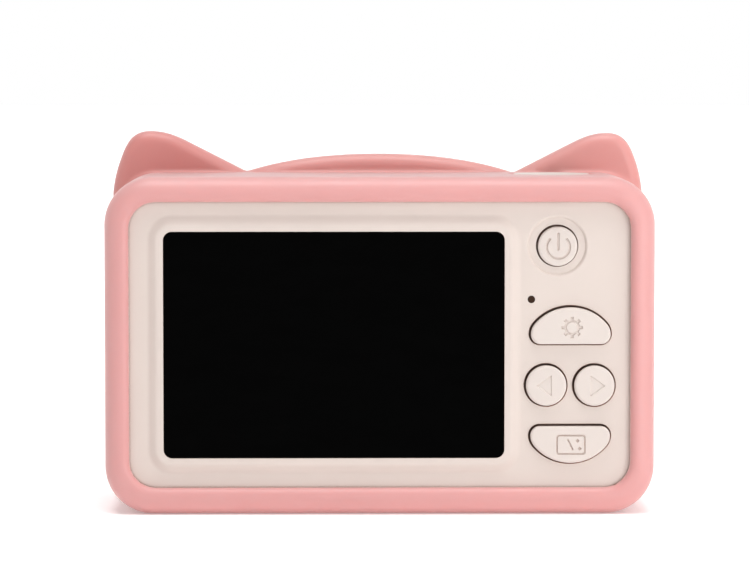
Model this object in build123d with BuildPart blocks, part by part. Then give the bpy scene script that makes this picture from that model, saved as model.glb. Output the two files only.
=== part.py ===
"""Kids digital camera in a cat-eared silicone jacket.

Frame: +X to the right as seen by the person behind the camera, +Y the way the lens
looks, +Z up.  The origin is on the resting surface, under the middle of the camera.
All lengths are in millimetres.
"""

from build123d import *

import os
from math import asin, atan, atan2, cos, degrees, radians, sin

os.makedirs("parts", exist_ok=True)

# ---------------------------------------------------------------- driving dimensions
# Silicone jacket
jacket_width = 100.0
jacket_height = 61.4
jacket_corner_r = 8.8
jacket_wall = 2.4
jacket_rear_y = -20.0
jacket_front_y = 14.0
jacket_lip_depth = 1.7
rim_outer_r = 3.3
rim_inner_r = 1.1
jacket_front_edge_r = 2.6
rear_opening_width = 91.0
rear_opening_low_z = 4.9
rear_opening_high_z = 56.8
rear_opening_r = 4.9

# Ears and forehead
ear_thickness = 6.2
ear_edge_r = 2.9
ear_foot_z = 44.0
ear_side_low = (49.9, 54.0)
ear_side_lean_deg = 4.0
ear_shoulder = (47.35, 66.8)
ear_crown = (45.0, 68.72)
ear_peak = (42.3, 69.1)
ear_slope_start = (36.1, 67.4)
ear_slope_deg = 27.0
valley_x = 24.9
valley_r = 2.2
forehead_r = 100.0
forehead_top_z = 65.0

# Housing
fit_gap = 0.1
housing_wall = 2.0
housing_corner_r = 6.3
housing_width = jacket_width - 2 * (jacket_wall + fit_gap)
housing_height = jacket_height - 2 * (jacket_wall + fit_gap)
mid_z = jacket_height / 2
plate_y = jacket_rear_y + jacket_lip_depth + fit_gap
plate_inner_y = plate_y + 1.9
parting_y = -8.0
shell_front_y = jacket_front_y - 2.3
shell_inner_y = shell_front_y - housing_wall
tongue_width = 0.9
tongue_depth = 1.2

# Screen
window_centre = (-8.33, 30.87)
window_width = 61.9
window_height = 41.2
window_corner_r = 1.6
window_thickness = 1.2
window_gap = 0.06
bezel_border = 1.3
bezel_spread = 1.45
bezel_rise = 0.75
bezel_soft_r = 1.5
bezel_foot_r = 1.4
ledge_width = 1.3
panel_width = 60.0
panel_height = 43.0
panel_thickness = 2.9

# Keys on the back
key_gap = 0.25
key_sag = (0.1, -0.1)
key_rise = 0.95
key_edge_r = 0.45
key_flange = 0.3
key_flange_thickness = 0.8
key_flange_gap = 0.4
icon_depth = 0.22
icon_taper_deg = 30.0
power_centre = (32.16, 48.85)
power_hole_r = 3.85
power_dish_r = 5.45
power_dish_depth = 0.55
previous_centre = (30.1, 23.55)
next_centre = (38.87, 23.52)
arrow_hole_r = 3.92
settings_centre = (34.55, 30.84)
effects_centre = (34.49, 16.4)
half_key_width = 15.0
half_key_height = 7.2
half_key_shoulder_r = 3.2
half_key_corner_r = 2.0
status_centre = (27.49, 39.11)
status_r = 0.69

# Shutter button
shutter_centre = (32.15, 0.0)
shutter_r = 7.15
shutter_gap = 0.2
shutter_jacket_gap = 0.45
shutter_flange = 0.5
shutter_edge_r = 0.4
shutter_top_z = jacket_height + 0.02

# Lens
lens_centre = (0.0, 30.7)
turret_r = 15.5
turret_front_y = 17.6
turret_bore_r = 12.8
lens_front_y = 20.0
collar_width = 2.6
collar_rise = 1.1

# Front wall features
flash_centre = (22.0, 49.0)
flash_size = (7.0, 4.4)
microphone_centre = (-22.0, 49.0)
speaker_centre = (-30.0, 16.5)
speaker_r = 10.0

# Ports on the -X side
door_low_z = 13.0
door_high_z = 41.0
door_rear_y = -12.6
door_front_y = -4.2
door_thickness = 1.6
door_outer_x = -47.5
moving_gap = 0.3
door_recess_x = -45.6
door_pin_r = 0.4
port_wall_x = -43.8
usb_z = 21.2
card_z = 33.4

# Strap anchor on the +X side
strap_y = 1.0
strap_z = 19.0
strap_pocket_width = 8.0
strap_pocket_height = 10.0
strap_pocket_floor_x = 42.2
strap_bar_x = 45.6
strap_bar_r = 0.9

# Boards
board_rear_y = -11.2
board_thickness = 1.2
board_front_y = board_rear_y + board_thickness
switch_height = 2.0
switch_size = 4.5
plunger_r = 1.1
plunger_reach = 1.0

# Fasteners
boss_points = [(-42.6, 7.4), (42.6, 7.4), (-42.6, 54.0), (42.6, 54.0)]
boss_r = 2.6
board_post_points = [(24.8, 45.5), (24.8, 17.3), (-42.4, 46.0)]
board_post_r = 1.8
screw_shank_r = 0.98
screw_pilot_r = 1.0
small_screw_r = 0.78
small_pilot_r = 0.8


# ---------------------------------------------------------------- shared helpers
def at_y(y):
    """A sketch plane at this y whose normal points to the rear, so that x and z are its axes."""
    return Plane.XZ.offset(-y)


def at_x(x):
    """A sketch plane at this x whose normal points to +X, so that y and z are its axes."""
    return Plane.YZ.offset(x)


def shell_outline(inset):
    """The housing's outline, moved inwards by the inset, around the camera's mid height."""
    with Locations((0, mid_z)):
        RectangleRounded(
            housing_width - 2 * inset, housing_height - 2 * inset, housing_corner_r - inset
        )


def half_disc_outline():
    """A half-disc key face: flat side on y = 0, then two corners, two shoulders and a crown."""
    half = half_key_width / 2
    shoulder = half_key_shoulder_r
    corner = half_key_corner_r
    crown_drop = (half_key_height - shoulder) ** 2 - corner**2 - (half - shoulder) ** 2
    crown_y = crown_drop / (2 * (half_key_height - shoulder - corner))
    crown_r = half_key_height - crown_y
    turn = degrees(atan2(corner - crown_y, half - shoulder))
    with BuildSketch() as outline:
        with BuildLine():
            Line((0, 0), (half - corner, 0))
            CenterArc((half - corner, corner), corner, -90, 90)
            CenterArc((half - shoulder, corner), shoulder, 0, turn)
            CenterArc((0, crown_y), crown_r, turn, 90 - turn)
            mirror(about=Plane.YZ)
        make_face()
    return outline.sketch


def pan_head_screw(head_r, head_height, shank_r, shank_length):
    """A pan head screw along the sketch plane's -Z, with its head's underside on the plane."""
    Cylinder(head_r, head_height, align=(Align.CENTER, Align.CENTER, Align.MIN))
    Cylinder(shank_r, shank_length, align=(Align.CENTER, Align.CENTER, Align.MAX))
    with Locations((0, 0, head_height)):
        for turn in (0, 90):
            Box(
                head_r * 1.15, head_r * 0.28, head_height * 1.1,
                rotation=(0, 0, turn), mode=Mode.SUBTRACT,
            )


def front_facing(x, y, z):
    """A place whose own z axis points to the front."""
    return Location(Plane(origin=(x, y, z), x_dir=(1, 0, 0), z_dir=(0, 1, 0)))


def save(piece, name):
    """Labels a finished sub-part and writes it."""
    piece.part.label = name
    export_step(piece.part, f"parts/{name}.step")


half_disc = half_disc_outline()
lens_section = Plane(origin=(lens_centre[0], 0, lens_centre[1]), x_dir=(1, 0, 0), z_dir=(0, 0, 1))
lens_axis = Axis((lens_centre[0], 0, lens_centre[1]), (0, 1, 0))
inner_width = housing_width - 2 * housing_wall
inner_high_z = mid_z + housing_height / 2 - housing_wall
inner_low_z = mid_z - housing_height / 2 + housing_wall

panel_rear_y = plate_inner_y + 0.7
panel_front_y = panel_rear_y + panel_thickness
carrier_front_y = panel_front_y + 0.7
window_recess = 0.1
door_middle = ((door_rear_y + door_front_y) / 2, (door_low_z + door_high_z) / 2)
door_width = door_front_y - door_rear_y
door_length = door_high_z - door_low_z
door_pin_x = door_outer_x + door_thickness / 2
door_pin_z = door_low_z + door_thickness / 2
usb_width = 8.94
usb_height = 3.2
usb_depth = 7.4
usb_y = board_front_y + usb_height / 2
card_width = 11.0
card_thickness = 0.8
card_lip = 0.6
card_y = board_front_y + 0.85
strap_bar_length = strap_pocket_height + 2.4
screw_head_r = 1.9
screw_head_height = 1.3
screw_seat_y = -4.0
shutter_shelf_z = 48.6
holder_ear_y = -1.0
holder_post_points = [(0, 43.3), (0, 18.1)]
holder_post_r = 2.0
holder_front_y = 6.0
sensor_board_front_y = -3.0
barrel_r = 4.95
key_power_rise = 0.5
settings_middle = (settings_centre[0] + 0.1, settings_centre[1] + 3.3)
effects_middle = (effects_centre[0], effects_centre[1] - 3.6)
icon_shift = (0.2, -0.1)
flange_rear_y = plate_inner_y + key_flange_gap
plunger_end_y = board_rear_y - switch_height - plunger_reach
plunger_length = 2.1
board_low_x = -43.2
board_high_x = 44.8
shutter_flange_z = 55.8
shutter_plunger_z = 54.3
usb_mouth_x = -45.4
card_mouth_x = -45.3
card_socket_x = -43.6
battery_centre = (27.1, 24.2)
battery_front_y = 6.5
lead_r = 0.45
lead_bend_r = 1.6
flash_board_front_y = 6.9

# ---------------------------------------------------------------- silicone jacket
# The ears and the forehead are one soft-edged plate along the jacket's front.
with BuildPart() as ear_plate:
    slope = (-cos(radians(ear_slope_deg)), -sin(radians(ear_slope_deg)))
    side_lean = (-sin(radians(ear_side_lean_deg)), cos(radians(ear_side_lean_deg)))
    valley_z = forehead_top_z - forehead_r + (forehead_r**2 - valley_x**2) ** 0.5
    with BuildSketch(at_y(jacket_front_y)) as ear_sketch:
        with BuildLine():
            Line((0, ear_foot_z), (ear_side_low[0], ear_foot_z))
            Line((ear_side_low[0], ear_foot_z), ear_side_low)
            side = TangentArc(ear_side_low, ear_shoulder, tangent=side_lean)
            Spline(ear_shoulder, ear_crown, ear_peak, ear_slope_start, tangents=[side % 1, slope])
            Line(ear_slope_start, (valley_x, valley_z))
            ThreePointArc(
                (valley_x, valley_z),
                (valley_x / 2, forehead_top_z - forehead_r + (forehead_r**2 - valley_x**2 / 4) ** 0.5),
                (0, forehead_top_z),
            )
            mirror(about=Plane.YZ)
        make_face()
        valleys = [corner for corner in ear_sketch.vertices() if abs(abs(corner.X) - valley_x) < 0.05]
        fillet(valleys, valley_r)
    extrude(amount=ear_thickness)
    fillet(ear_plate.faces().sort_by(Axis.Y)[-1].edges(), ear_edge_r)
    fillet(ear_plate.faces().sort_by(Axis.Y)[0].edges(), ear_edge_r)

with BuildPart() as silicone_jacket:
    with BuildSketch(at_y(jacket_front_y)):
        with Locations((0, mid_z)):
            RectangleRounded(jacket_width, jacket_height, jacket_corner_r)
    extrude(amount=jacket_front_y - jacket_rear_y)
    fillet(silicone_jacket.faces().sort_by(Axis.Y)[0].edges(), rim_outer_r)
    fillet(silicone_jacket.faces().sort_by(Axis.Y)[-1].edges(), jacket_front_edge_r)
    # Soft collar round the lens turret
    with BuildSketch(lens_section):
        with Locations((turret_r + 0.5 + collar_width / 2, jacket_front_y)):
            Ellipse(collar_width / 2, collar_rise)
    revolve(axis=lens_axis)
    add(ear_plate.part)
    # The room that the housing fills
    with BuildSketch(at_y(shell_front_y + fit_gap)):
        shell_outline(-fit_gap)
    extrude(amount=shell_front_y - plate_y + 2 * fit_gap, mode=Mode.SUBTRACT)
    # Rear opening, inside the rounded rim
    opening_height = rear_opening_high_z - rear_opening_low_z
    with BuildSketch(at_y(plate_y)):
        with Locations((0, rear_opening_low_z + opening_height / 2)):
            RectangleRounded(rear_opening_width, opening_height, rear_opening_r)
    extrude(amount=plate_y - jacket_rear_y, mode=Mode.SUBTRACT)
    rear_edges = silicone_jacket.edges().filter_by_position(
        Axis.Y, jacket_rear_y - 0.01, jacket_rear_y + 0.01
    )
    rim_edges = [
        edge for edge in rear_edges
        if abs(edge.center().X) < rear_opening_width / 2 + 0.3
        and abs(edge.center().Z - mid_z) < opening_height / 2 + 0.3
    ]
    fillet(rim_edges, rim_inner_r)
    # Lens, flash, microphone and speaker openings through the front
    with BuildSketch(at_y(jacket_front_y + 3)):
        with Locations(lens_centre):
            Circle(turret_r + 0.5)
        with Locations(flash_centre):
            RectangleRounded(flash_size[0] + 1.8, flash_size[1] + 1.8, 2.6)
        with Locations(microphone_centre):
            Circle(1.3)
        with Locations(speaker_centre):
            Circle(6.2)
    extrude(amount=8, mode=Mode.SUBTRACT)
    # Shutter opening through the top
    with BuildSketch(Plane.XY.offset(jacket_height - 5)):
        with Locations(shutter_centre):
            Circle(shutter_r + shutter_jacket_gap)
    extrude(amount=6, mode=Mode.SUBTRACT)
    # Port opening through the -X side
    with BuildSketch(at_x(-jacket_width / 2 - 1)):
        with Locations(((door_rear_y + door_front_y) / 2, (door_low_z - 3 + door_high_z + 1) / 2)):
            RectangleRounded(door_front_y - door_rear_y + 2, door_high_z - door_low_z + 4, 2.4)
    extrude(amount=5, mode=Mode.SUBTRACT)
    # Strap opening through the +X side
    with BuildSketch(at_x(jacket_width / 2 + 1)):
        with Locations((strap_y, strap_z)):
            RectangleRounded(strap_pocket_width + 2, strap_pocket_height + 2, 3)
    extrude(amount=-5, mode=Mode.SUBTRACT)
save(silicone_jacket, "silicone_jacket")

# ---------------------------------------------------------------- rear cover
with BuildPart() as rear_cover:
    with BuildSketch(at_y(parting_y - fit_gap / 2)):
        shell_outline(0)
    extrude(amount=parting_y - fit_gap / 2 - plate_y)
    fillet(rear_cover.faces().sort_by(Axis.Y)[0].edges(), 1.2)
    # Raised bezel round the window
    with BuildSketch(at_y(plate_y)):
        with Locations(window_centre):
            RectangleRounded(
                window_width + 2 * (bezel_border + bezel_spread),
                window_height + 2 * (bezel_border + bezel_spread),
                window_corner_r + bezel_border + bezel_spread,
            )
    extrude(amount=bezel_rise, taper=degrees(atan(bezel_spread / bezel_rise)))
    fillet(rear_cover.faces().sort_by(Axis.Y)[0].edges(), bezel_soft_r)
    bezel_foot = [
        edge for edge in rear_cover.edges().filter_by_position(Axis.Y, plate_y - 0.01, plate_y + 0.01)
        if abs(edge.center().X - window_centre[0]) < window_width / 2 + bezel_border + bezel_spread + 1
    ]
    fillet(bezel_foot, bezel_foot_r)
    # Hollow inside
    with BuildSketch(at_y(parting_y)):
        shell_outline(housing_wall)
    extrude(amount=parting_y - plate_inner_y, mode=Mode.SUBTRACT)
    # Screw bosses and board posts
    with BuildSketch(at_y(plate_inner_y)):
        with Locations(*boss_points):
            Circle(boss_r)
    extrude(amount=parting_y - fit_gap / 2 - plate_inner_y, dir=(0, 1, 0))
    with BuildSketch(at_y(plate_inner_y)):
        with Locations(*board_post_points):
            Circle(board_post_r)
    extrude(amount=board_rear_y - plate_inner_y, dir=(0, 1, 0))
    # Rebate for the front shell's tongue
    with BuildSketch(at_y(parting_y)):
        shell_outline(housing_wall - tongue_width - 0.15)
        with Locations((0, mid_z)):
            RectangleRounded(
                inner_width - 0.3, inner_high_z - inner_low_z - 0.3,
                housing_corner_r - housing_wall - 0.15, mode=Mode.SUBTRACT,
            )
    extrude(amount=tongue_depth + 0.3, mode=Mode.SUBTRACT)
    # Thick wall behind the port door
    with BuildSketch(at_x(-housing_width / 2 + 1)):
        with Locations(((door_rear_y - 2 + parting_y) / 2, (door_low_z + door_high_z) / 2)):
            Rectangle(parting_y - door_rear_y + 2 - 0.1, door_high_z - door_low_z + 3)
    extrude(amount=port_wall_x + housing_width / 2 - 1)
    with BuildSketch(at_y(parting_y)):
        with Locations(*boss_points):
            Circle(screw_pilot_r)
    extrude(amount=7, mode=Mode.SUBTRACT)
    with BuildSketch(at_y(board_rear_y)):
        with Locations(*board_post_points):
            Circle(small_pilot_r)
    extrude(amount=4.2, mode=Mode.SUBTRACT)
    # Window seat and the opening through it
    with BuildSketch(at_y(plate_y - bezel_rise + window_thickness + 0.05)):
        with Locations(window_centre):
            RectangleRounded(window_width, window_height, window_corner_r)
    extrude(amount=3, mode=Mode.SUBTRACT)
    with BuildSketch(at_y(plate_inner_y + 1)):
        with Locations(window_centre):
            RectangleRounded(window_width - 2 * ledge_width, window_height - 2 * ledge_width, 0.8)
    extrude(amount=4, mode=Mode.SUBTRACT)
    # Power dish, then every key hole
    with BuildSketch(at_y(plate_y)):
        with Locations(power_centre):
            Circle(power_dish_r)
    extrude(amount=-power_dish_depth, taper=30, mode=Mode.SUBTRACT)
    with BuildSketch(at_y(plate_inner_y + 1)):
        with Locations(power_centre):
            Circle(power_hole_r)
        with Locations(previous_centre, next_centre):
            Circle(arrow_hole_r)
        with Locations(status_centre):
            Circle(status_r)
    extrude(amount=4, mode=Mode.SUBTRACT)
    with BuildSketch(at_y(plate_inner_y + 1)):
        with Locations(settings_centre):
            add(half_disc)
        with Locations(effects_centre):
            add(half_disc, rotation=180)
    extrude(amount=4, mode=Mode.SUBTRACT)
    # The dish and the key holes have softened edges
    rims = [
        edge for edge in rear_cover.edges().filter_by_position(Axis.Y, plate_y - 0.01, plate_y + 0.01)
        if status_centre[0] - 1.5 < edge.center().X < next_centre[0] + 4
    ]
    dish_rim = [edge for edge in rims if edge.center().Z > power_centre[1] - 1]
    key_rims = [edge for edge in rims if edge.center().Z < status_centre[1]]
    fillet(dish_rim, 0.4)
    fillet(key_rims, 0.15)
    # Port mouths and the door's recess, which the front shell shares
    with BuildSketch(at_x(door_recess_x)):
        with Locations(door_middle):
            Rectangle(door_width + 2 * moving_gap, door_length + 2 * moving_gap)
    extrude(amount=-4, mode=Mode.SUBTRACT)
    with BuildSketch(at_x(door_recess_x - 1)):
        with Locations((usb_y, usb_z)):
            RectangleRounded(usb_height + 0.3, usb_width + 0.3, 1.5)
        with Locations((card_y, card_z)):
            RectangleRounded(1.5, card_width + 0.6, 0.4)
    extrude(amount=5, mode=Mode.SUBTRACT)
    with BuildSketch(at_y(parting_y)):
        with Locations((door_pin_x, door_pin_z)):
            Circle(door_pin_r + 0.02)
    extrude(amount=parting_y - door_rear_y + 1.2, mode=Mode.SUBTRACT)
save(rear_cover, "rear_cover")

# ---------------------------------------------------------------- front shell
with BuildPart() as front_shell:
    with BuildSketch(at_y(shell_front_y)):
        shell_outline(0)
    extrude(amount=shell_front_y - parting_y - fit_gap / 2)
    fillet(front_shell.faces().sort_by(Axis.Y)[-1].edges(), 1.0)
    with BuildSketch(at_y(parting_y + 1)):
        shell_outline(housing_wall - tongue_width)
    extrude(amount=tongue_depth + 1)
    with BuildSketch(at_x(-housing_width / 2)):
        with Locations((parting_y - 2 - fit_gap / 2, (door_low_z + door_high_z) / 2)):
            Rectangle(4, door_high_z - door_low_z + 3.4)
    extrude(amount=4, mode=Mode.SUBTRACT)
    with BuildSketch(at_y(shell_inner_y)):
        shell_outline(housing_wall)
    extrude(amount=30, mode=Mode.SUBTRACT)
    # Lens turret with posts that hold the lens holder behind it
    with BuildSketch(at_y(turret_front_y)):
        with Locations(lens_centre):
            Circle(turret_r)
    extrude(amount=turret_front_y - shell_inner_y)
    with BuildSketch(at_y(turret_front_y)):
        with Locations(lens_centre):
            Circle(turret_bore_r)
    extrude(amount=10, mode=Mode.SUBTRACT)
    with BuildSketch(at_y(shell_inner_y)):
        with Locations(*holder_post_points):
            Circle(holder_post_r)
    extrude(amount=shell_inner_y - holder_ear_y)
    with BuildSketch(at_y(holder_ear_y + 6)):
        with Locations(*holder_post_points):
            Circle(small_pilot_r)
    extrude(amount=6, mode=Mode.SUBTRACT)
    # Screw bosses, open from the front
    with BuildSketch(at_y(shell_inner_y)):
        with Locations(*boss_points):
            Circle(boss_r + 0.1)
    extrude(amount=shell_inner_y - parting_y - fit_gap / 2)
    with BuildSketch(at_y(shell_front_y)):
        with Locations(*boss_points):
            Circle(screw_head_r + 0.15)
    extrude(amount=shell_front_y - screw_seat_y, mode=Mode.SUBTRACT)
    with BuildSketch(at_y(screw_seat_y)):
        with Locations(*boss_points):
            Circle(screw_shank_r + 0.17)
    extrude(amount=8, mode=Mode.SUBTRACT)
    # Shelf that carries the shutter's board
    with BuildSketch(Plane.XY.offset(shutter_shelf_z)):
        with Locations((shutter_centre[0] + 1.6, (shell_inner_y - 5.5) / 2)):
            Rectangle(11.6, shell_inner_y + 5.5)
    extrude(amount=-1.0)
    # Strap pocket, sunk into the +X side
    with BuildSketch(at_x(housing_width / 2 - 1)):
        with Locations((strap_y, strap_z)):
            RectangleRounded(strap_pocket_width + 3, strap_pocket_height + 3, 2.2)
    extrude(amount=strap_pocket_floor_x - 1.5 - housing_width / 2 + 1)
    with BuildSketch(at_x(housing_width / 2 + 1)):
        with Locations((strap_y, strap_z)):
            RectangleRounded(strap_pocket_width, strap_pocket_height, 2)
    extrude(amount=strap_pocket_floor_x - housing_width / 2 - 1, mode=Mode.SUBTRACT)
    with BuildSketch(Plane.XY.offset(strap_z - strap_bar_length / 2)):
        with Locations((strap_bar_x, strap_y)):
            Circle(strap_bar_r + 0.02)
    extrude(amount=strap_bar_length, mode=Mode.SUBTRACT)
    # Thick wall behind the port door
    with BuildSketch(at_x(-housing_width / 2 + 1)):
        with Locations(((door_front_y + 2 + parting_y) / 2, (door_low_z + door_high_z) / 2)):
            Rectangle(door_front_y + 2 - parting_y - 0.1, door_high_z - door_low_z + 3)
    extrude(amount=port_wall_x + housing_width / 2 - 1)
    with BuildSketch(at_x(door_recess_x)):
        with Locations(door_middle):
            Rectangle(door_width + 2 * moving_gap, door_length + 2 * moving_gap)
    extrude(amount=-4, mode=Mode.SUBTRACT)
    with BuildSketch(at_x(door_recess_x - 1)):
        with Locations((usb_y, usb_z)):
            RectangleRounded(usb_height + 0.3, usb_width + 0.3, 1.5)
        with Locations((card_y, card_z)):
            RectangleRounded(1.5, card_width + 0.6, 0.4)
    extrude(amount=5, mode=Mode.SUBTRACT)
    with BuildSketch(at_y(door_front_y + 1.2)):
        with Locations((door_pin_x, door_pin_z)):
            Circle(door_pin_r + 0.02)
    extrude(amount=door_front_y + 1.2 - parting_y + 2, mode=Mode.SUBTRACT)
    # Shutter opening through the top
    with BuildSketch(Plane.XY.offset(inner_high_z - 1)):
        with Locations(shutter_centre):
            Circle(shutter_r + shutter_gap)
    extrude(amount=5, mode=Mode.SUBTRACT)
    # Flash, microphone and speaker openings through the front
    with BuildSketch(at_y(shell_front_y + 1)):
        with Locations(flash_centre):
            RectangleRounded(flash_size[0] + 0.1, flash_size[1] + 0.1, 1.8)
        with Locations(microphone_centre):
            Circle(0.5)
        with Locations(speaker_centre):
            Circle(0.6)
            with PolarLocations(2.6, 6):
                Circle(0.6)
    extrude(amount=4, mode=Mode.SUBTRACT)
save(front_shell, "front_shell")

# ---------------------------------------------------------------- screen
with BuildPart() as screen_window:
    with BuildSketch(at_y(plate_y - bezel_rise + window_thickness)):
        with Locations(window_centre):
            RectangleRounded(
                window_width - 2 * window_gap, window_height - 2 * window_gap, window_corner_r - window_gap
            )
    extrude(amount=window_thickness - window_recess)
    chamfer(screen_window.faces().sort_by(Axis.Y)[0].edges(), 0.12)
save(screen_window, "screen_window")

with BuildPart() as display_gasket:
    with BuildSketch(at_y(panel_rear_y)):
        with Locations(window_centre):
            Rectangle(panel_width, panel_height)
            Rectangle(
                window_width - 2 * ledge_width, window_height - 2 * ledge_width, mode=Mode.SUBTRACT
            )
    extrude(amount=panel_rear_y - plate_inner_y)
save(display_gasket, "display_gasket")

with BuildPart() as display_panel:
    with BuildSketch(at_y(panel_front_y)):
        with Locations(window_centre):
            RectangleRounded(panel_width, panel_height, 0.6)
    extrude(amount=panel_thickness)
    # The glass steps in from the backlight's frame
    with BuildSketch(at_y(panel_rear_y + 0.7)):
        with Locations(window_centre):
            Rectangle(panel_width + 1, panel_height + 1)
            Rectangle(panel_width - 1.2, panel_height - 1.2, mode=Mode.SUBTRACT)
    extrude(amount=1, mode=Mode.SUBTRACT)
save(display_panel, "display_panel")

with BuildPart() as display_carrier:
    with BuildSketch(at_y(carrier_front_y)):
        with Locations(window_centre):
            RectangleRounded(panel_width + 2.2, panel_height + 2.2, 1.2)
    extrude(amount=3.4)
    with BuildSketch(at_y(panel_front_y)):
        with Locations(window_centre):
            Rectangle(panel_width + 0.2, panel_height + 0.2)
    extrude(amount=5, mode=Mode.SUBTRACT)
    # Lightening windows, and the slot that lets the ribbon through
    with BuildSketch(at_y(carrier_front_y + 1)):
        with Locations(window_centre):
            with GridLocations(18, 15, 3, 2):
                RectangleRounded(14, 11, 2)
        with Locations((window_centre[0], window_centre[1] - panel_height / 2 + 1.2)):
            Rectangle(18, 1.6)
    extrude(amount=2, mode=Mode.SUBTRACT)
save(display_carrier, "display_carrier")

# The ribbon leaves the panel's lower end and bends flat against the board
with BuildPart() as display_flex:
    flex_z = window_centre[1] - panel_height / 2 + 1.2
    with BuildSketch(at_x(window_centre[0] - 8)):
        with BuildLine():
            FilletPolyline(
                (panel_front_y, flex_z),
                (board_rear_y - 0.15, flex_z),
                (board_rear_y - 0.15, flex_z - 3.4),
                radius=0.6,
            )
        trace(line_width=0.25)
    extrude(amount=16)
save(display_flex, "display_flex")

# ---------------------------------------------------------------- keys on the back
def power_icon():
    """A ring that is open at the top, with a bar through the gap."""
    with BuildSketch() as icon:
        with BuildLine():
            CenterArc((0, -0.15), 2.1, 132, 276)
        trace(line_width=0.45)
        with Locations((0, 0.85)):
            SlotOverall(3.3, 0.48, rotation=90)
    return icon.sketch


def arrow_icon(direction):
    """A plain triangle that points along x, towards +1 or -1."""
    with BuildSketch() as icon:
        Polygon((-0.9 * direction, 2.0), (-0.9 * direction, -2.0), (1.9 * direction, 0), align=None)
        fillet(icon.vertices(), 0.12)
    return icon.sketch


def gear_icon():
    """A ring with eight short teeth."""
    with BuildSketch() as icon:
        Circle(1.42)
        with PolarLocations(1.55, 8):
            Rectangle(0.8, 0.6)
        Circle(0.95, mode=Mode.SUBTRACT)
    return icon.sketch


def picture_icon():
    """A picture frame with a slanting wand and two sparkles in it."""
    with BuildSketch() as icon:
        RectangleRounded(5.4, 3.7, 0.5)
        RectangleRounded(4.7, 3.0, 0.3, mode=Mode.SUBTRACT)
        with Locations((-0.1, 0)):
            SlotCenterToCenter(1.9, 0.36, rotation=-64)
        with Locations((1.2, 0.72), (1.6, -0.72)):
            Rectangle(0.55, 0.55, rotation=45)
    return icon.sketch


def key_hole(shape, centre, turn=0):
    """The face of a key's hole in the rear cover, in x and z."""
    with BuildSketch() as hole:
        with Locations(centre):
            add(shape, rotation=turn)
    return hole.sketch


def disc(radius):
    """A round face."""
    with BuildSketch() as face:
        Circle(radius)
    return face.sketch


# Each key: its hole, its icon, where the icon and the switch stand, and its face's y
round_face = disc(arrow_hole_r)
raised_y = plate_y - key_rise
flush_y = plate_y + power_dish_depth - key_power_rise
keys = {
    "power": (key_hole(disc(power_hole_r), power_centre), power_icon(), power_centre, flush_y),
    "settings": (key_hole(half_disc, settings_centre), gear_icon(), settings_middle, raised_y),
    "previous": (key_hole(round_face, previous_centre), arrow_icon(-1), previous_centre, raised_y),
    "next": (key_hole(round_face, next_centre), arrow_icon(1), next_centre, raised_y),
    "effects": (key_hole(half_disc, effects_centre, 180), picture_icon(), effects_middle, raised_y),
}

for name, (hole, icon, middle, face_y) in keys.items():
    with BuildPart() as button:
        # Cap, a little smaller than its hole and hanging a little low in it
        with BuildSketch(at_y(flange_rear_y)):
            with Locations(key_sag):
                add(hole)
            offset(amount=-key_gap)
        extrude(amount=flange_rear_y - face_y)
        fillet(button.faces().sort_by(Axis.Y)[0].edges(), key_edge_r)
        # Flange that keeps the cap in its hole
        with BuildSketch(at_y(flange_rear_y + key_flange_thickness)):
            with Locations(key_sag):
                add(hole)
            offset(amount=key_flange)
        extrude(amount=key_flange_thickness)
        # Stem that presses the switch
        with BuildSketch(at_y(plunger_end_y)):
            with Locations(middle):
                Circle(1.5)
        extrude(amount=plunger_end_y - flange_rear_y - key_flange_thickness)
        # Sunk icon
        with BuildSketch(at_y(face_y)):
            with Locations((middle[0] + icon_shift[0], middle[1] + icon_shift[1])):
                add(icon)
        extrude(amount=-icon_depth, taper=icon_taper_deg, mode=Mode.SUBTRACT)
    save(button, f"{name}_button")

    with BuildPart() as plunger:
        with BuildSketch(at_y(plunger_end_y + plunger_length)):
            with Locations(middle):
                Circle(plunger_r)
        extrude(amount=plunger_length)
        chamfer(plunger.edges().sort_by(Axis.Y)[0], 0.15)
    save(plunger, f"{name}_plunger")

with BuildPart() as tact_switches:
    switch_points = [middle for _, _, middle, _ in keys.values()]
    with BuildSketch(at_y(board_rear_y)):
        with Locations(*switch_points):
            RectangleRounded(switch_size, switch_size, 0.3)
    extrude(amount=switch_height)
    with BuildSketch(at_y(board_rear_y - 0.4)):
        with Locations(*switch_points):
            Circle(plunger_r + 0.08)
    extrude(amount=switch_height, mode=Mode.SUBTRACT)
save(tact_switches, "tact_switches")

# ---------------------------------------------------------------- status light
with BuildPart() as status_light_pipe:
    with BuildSketch(at_y(board_rear_y - 0.9)):
        with Locations(status_centre):
            Circle(status_r - 0.03)
    extrude(amount=board_rear_y - 0.9 - plate_y + 0.05)
    fillet(status_light_pipe.edges().sort_by(Axis.Y)[0], 0.15)
save(status_light_pipe, "status_light_pipe")

with BuildPart() as status_led:
    with BuildSketch(at_y(board_rear_y)):
        with Locations(status_centre):
            Rectangle(1.6, 0.8)
    extrude(amount=0.6)
save(status_led, "status_led")

# ---------------------------------------------------------------- main board
with BuildPart() as main_board:
    with BuildSketch(at_y(board_front_y)):
        with Locations(((board_low_x + board_high_x) / 2, mid_z)):
            RectangleRounded(board_high_x - board_low_x, 2 * (inner_high_z - mid_z) - 1.4, 1.5)
        with Locations(*boss_points):
            Circle(boss_r + 0.6, mode=Mode.SUBTRACT)
            Rectangle(2 * boss_r, 2 * boss_r + 1.2, mode=Mode.SUBTRACT)
        with Locations(*board_post_points):
            Circle(small_screw_r + 0.15, mode=Mode.SUBTRACT)
    extrude(amount=board_thickness)
save(main_board, "main_board")


def board_part(name, centre, size, height):
    """A plain package that stands on the main board's front face."""
    with BuildPart() as package:
        with BuildSketch(at_y(board_front_y + height)):
            with Locations(centre):
                Rectangle(*size)
        extrude(amount=height)
        chamfer(package.faces().sort_by(Axis.Y)[-1].edges(), 0.12)
    save(package, name)


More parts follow.
